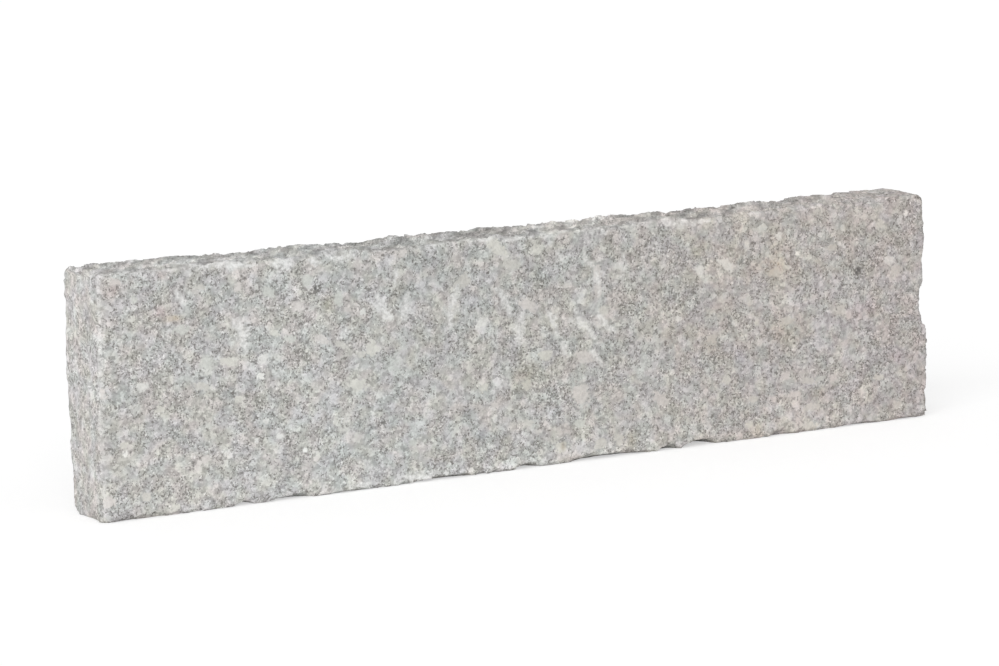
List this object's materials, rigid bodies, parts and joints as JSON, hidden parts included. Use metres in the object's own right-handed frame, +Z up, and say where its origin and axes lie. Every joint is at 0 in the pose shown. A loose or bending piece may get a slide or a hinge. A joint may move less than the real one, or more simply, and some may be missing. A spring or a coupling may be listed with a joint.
{
  "type": "granite kerb stone",
  "caption": "Long, narrow kerb stone of light grey granite, split and dressed by hand, with chipped arrises. It edges a path, bed or road and stands on its long narrow face.",
  "frame": {"origin": "middle of the flat bed that the stone stands on", "axes": "+X along the stone, towards the end with the deep flake; +Y from the dressed face through the stone to its back; +Z up"},
  "size_m": [0.9999, 0.0799, 0.2499],
  "materials": {
    "granite": "rough split and bush-hammered, light grey with dark mica, pale feldspar and warm patches"
  },
  "bodies": {
    "root": {"kerb_stone": "granite"}
  },
  "joints": []
}
